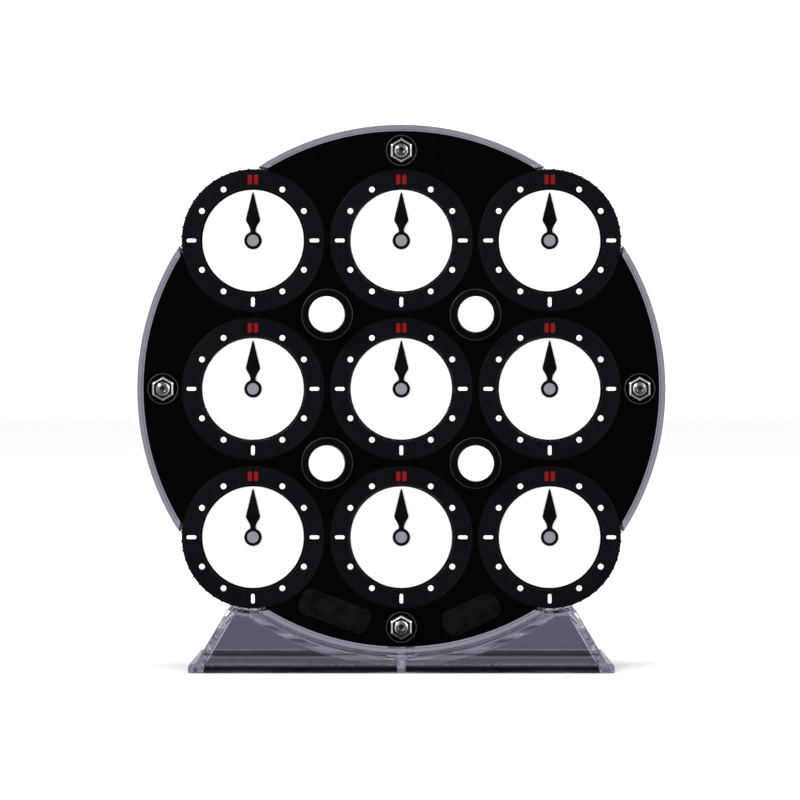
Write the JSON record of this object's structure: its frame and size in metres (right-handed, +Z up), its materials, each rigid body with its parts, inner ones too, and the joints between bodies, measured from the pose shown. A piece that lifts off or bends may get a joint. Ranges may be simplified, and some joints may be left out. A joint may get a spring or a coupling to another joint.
{
  "type": "clock dial puzzle on a stand",
  "caption": "Round clock-type dial puzzle: black face plates, white dials with hands, push pins and geared corner wheels, resting on a clear hollow display stand.",
  "frame": {"origin": "on the table, under the middle of the stand", "axes": "+X to the right, the dials with the proud pins face -Y, +Z up"},
  "size_m": [0.1, 0.0388, 0.103],
  "materials": {
    "clear_stand": "clear moulded polystyrene, polished",
    "clear_frame": "clear moulded plastic, polished",
    "black_plate": "glossy moulded black",
    "hour_ring": "satin with fine concentric lines",
    "white_face": "smooth white moulding",
    "black_hand": "satin black",
    "steel_axle": "turned end",
    "bright_steel": "bright nickel plate",
    "nylon": "dark nylon",
    "black_gear": "smooth moulded black",
    "white_pin": "smooth white moulding",
    "idler": "natural acetal"
  },
  "bodies": {
    "stand": {"stand": "clear_stand"},
    "case": {"middle_frame": "clear_frame", "dial_axles": "steel_axle", "front_plate": "black_plate", "rear_plate": "black_plate", "front_hour_rings": "hour_ring", "rear_hour_rings": "hour_ring", "screws": "bright_steel", "lock_nuts": "bright_steel", "nut_inserts": "nylon"},
    "corner_wheel_top_left": {"corner_gear_top_left": "black_gear", "corner_faces_top_left": "white_face", "corner_hands_top_left": "black_hand", "corner_axle_top_left": "steel_axle"},
    "corner_wheel_top_right": {"corner_gear_top_right": "black_gear", "corner_faces_top_right": "white_face", "corner_hands_top_right": "black_hand", "corner_axle_top_right": "steel_axle"},
    "corner_wheel_bottom_left": {"corner_gear_bottom_left": "black_gear", "corner_faces_bottom_left": "white_face", "corner_hands_bottom_left": "black_hand", "corner_axle_bottom_left": "steel_axle"},
    "corner_wheel_bottom_right": {"corner_gear_bottom_right": "black_gear", "corner_faces_bottom_right": "white_face", "corner_hands_bottom_right": "black_hand", "corner_axle_bottom_right": "steel_axle"},
    "front_dial_top": {"front_wheel_top": "white_face", "front_hand_top": "black_hand"},
    "front_dial_left": {"front_wheel_left": "white_face", "front_hand_left": "black_hand"},
    "front_dial_centre": {"front_wheel_centre": "white_face", "front_hand_centre": "black_hand"},
    "front_dial_right": {"front_wheel_right": "white_face", "front_hand_right": "black_hand"},
    "front_dial_bottom": {"front_wheel_bottom": "white_face", "front_hand_bottom": "black_hand"},
    "rear_dial_top": {"rear_wheel_top": "white_face", "rear_hand_top": "black_hand"},
    "rear_dial_left": {"rear_wheel_left": "white_face", "rear_hand_left": "black_hand"},
    "rear_dial_centre": {"rear_wheel_centre": "white_face", "rear_hand_centre": "black_hand"},
    "rear_dial_right": {"rear_wheel_right": "white_face", "rear_hand_right": "black_hand"},
    "rear_dial_bottom": {"rear_wheel_bottom": "white_face", "rear_hand_bottom": "black_hand"},
    "pin_top_left": {"pin_body_top_left": "white_pin", "pin_cap_top_left": "white_pin"},
    "idler_top_left": {"idler_gear_top_left": "idler"},
    "pin_top_right": {"pin_body_top_right": "white_pin", "pin_cap_top_right": "white_pin"},
    "idler_top_right": {"idler_gear_top_right": "idler"},
    "pin_bottom_left": {"pin_body_bottom_left": "white_pin", "pin_cap_bottom_left": "white_pin"},
    "idler_bottom_left": {"idler_gear_bottom_left": "idler"},
    "pin_bottom_right": {"pin_body_bottom_right": "white_pin", "pin_cap_bottom_right": "white_pin"},
    "idler_bottom_right": {"idler_gear_bottom_right": "idler"}
  },
  "joints": [
    {"name": "lift_off", "type": "slide", "parent": "stand", "child": "case", "axis": [0, 0, 1], "range_m": [0, 0.04]},
    {"name": "corner_turn_top_left", "type": "hinge", "parent": "case", "child": "corner_wheel_top_left", "pos_m": [-0.028, 0, 0.081], "axis": [0, 1, 0], "continuous": true},
    {"name": "corner_turn_top_right", "type": "hinge", "parent": "case", "child": "corner_wheel_top_right", "pos_m": [0.028, 0, 0.081], "axis": [0, 1, 0], "continuous": true},
    {"name": "corner_turn_bottom_left", "type": "hinge", "parent": "case", "child": "corner_wheel_bottom_left", "pos_m": [-0.028, 0, 0.025], "axis": [0, 1, 0], "continuous": true},
    {"name": "corner_turn_bottom_right", "type": "hinge", "parent": "case", "child": "corner_wheel_bottom_right", "pos_m": [0.028, 0, 0.025], "axis": [0, 1, 0], "continuous": true},
    {"name": "front_turn_top", "type": "hinge", "parent": "case", "child": "front_dial_top", "pos_m": [0, 0, 0.081], "axis": [0, 1, 0], "continuous": true},
    {"name": "front_turn_left", "type": "hinge", "parent": "case", "child": "front_dial_left", "pos_m": [-0.028, 0, 0.053], "axis": [0, 1, 0], "continuous": true},
    {"name": "front_turn_centre", "type": "hinge", "parent": "case", "child": "front_dial_centre", "pos_m": [0, 0, 0.053], "axis": [0, 1, 0], "continuous": true},
    {"name": "front_turn_right", "type": "hinge", "parent": "case", "child": "front_dial_right", "pos_m": [0.028, 0, 0.053], "axis": [0, 1, 0], "continuous": true},
    {"name": "front_turn_bottom", "type": "hinge", "parent": "case", "child": "front_dial_bottom", "pos_m": [0, 0, 0.025], "axis": [0, 1, 0], "continuous": true},
    {"name": "rear_turn_top", "type": "hinge", "parent": "case", "child": "rear_dial_top", "pos_m": [0, 0, 0.081], "axis": [0, 1, 0], "continuous": true},
    {"name": "rear_turn_left", "type": "hinge", "parent": "case", "child": "rear_dial_left", "pos_m": [-0.028, 0, 0.053], "axis": [0, 1, 0], "continuous": true},
    {"name": "rear_turn_centre", "type": "hinge", "parent": "case", "child": "rear_dial_centre", "pos_m": [0, 0, 0.053], "axis": [0, 1, 0], "continuous": true},
    {"name": "rear_turn_right", "type": "hinge", "parent": "case", "child": "rear_dial_right", "pos_m": [0.028, 0, 0.053], "axis": [0, 1, 0], "continuous": true},
    {"name": "rear_turn_bottom", "type": "hinge", "parent": "case", "child": "rear_dial_bottom", "pos_m": [0, 0, 0.025], "axis": [0, 1, 0], "continuous": true},
    {"name": "pin_slide_top_left", "type": "slide", "parent": "case", "child": "pin_top_left", "axis": [0, 1, 0], "range_m": [0, 0.005]},
    {"name": "idler_turn_top_left", "type": "hinge", "parent": "pin_top_left", "child": "idler_top_left", "pos_m": [-0.014, 0, 0.067], "axis": [0, 1, 0], "continuous": true},
    {"name": "pin_slide_top_right", "type": "slide", "parent": "case", "child": "pin_top_right", "axis": [0, 1, 0], "range_m": [0, 0.005]},
    {"name": "idler_turn_top_right", "type": "hinge", "parent": "pin_top_right", "child": "idler_top_right", "pos_m": [0.014, 0, 0.067], "axis": [0, 1, 0], "continuous": true},
    {"name": "pin_slide_bottom_left", "type": "slide", "parent": "case", "child": "pin_bottom_left", "axis": [0, 1, 0], "range_m": [0, 0.005]},
    {"name": "idler_turn_bottom_left", "type": "hinge", "parent": "pin_bottom_left", "child": "idler_bottom_left", "pos_m": [-0.014, 0, 0.039], "axis": [0, 1, 0], "continuous": true},
    {"name": "pin_slide_bottom_right", "type": "slide", "parent": "case", "child": "pin_bottom_right", "axis": [0, 1, 0], "range_m": [0, 0.005]},
    {"name": "idler_turn_bottom_right", "type": "hinge", "parent": "pin_bottom_right", "child": "idler_bottom_right", "pos_m": [0.014, 0, 0.039], "axis": [0, 1, 0], "continuous": true}
  ],
  "couplings": [
    {"joint": "corner_turn_top_right", "follows": "corner_turn_top_left", "ratio": 1},
    {"joint": "corner_turn_bottom_left", "follows": "corner_turn_top_left", "ratio": 1},
    {"joint": "corner_turn_bottom_right", "follows": "corner_turn_top_left", "ratio": 1},
    {"joint": "front_turn_top", "follows": "corner_turn_top_left", "ratio": 1},
    {"joint": "front_turn_left", "follows": "corner_turn_top_left", "ratio": 1},
    {"joint": "front_turn_centre", "follows": "corner_turn_top_left", "ratio": 1},
    {"joint": "front_turn_right", "follows": "corner_turn_top_left", "ratio": 1},
    {"joint": "front_turn_bottom", "follows": "corner_turn_top_left", "ratio": 1},
    {"joint": "idler_turn_top_left", "follows": "corner_turn_top_left", "ratio": -2},
    {"joint": "idler_turn_top_right", "follows": "corner_turn_top_left", "ratio": -2},
    {"joint": "idler_turn_bottom_left", "follows": "corner_turn_top_left", "ratio": -2},
    {"joint": "idler_turn_bottom_right", "follows": "corner_turn_top_left", "ratio": -2}
  ]
}
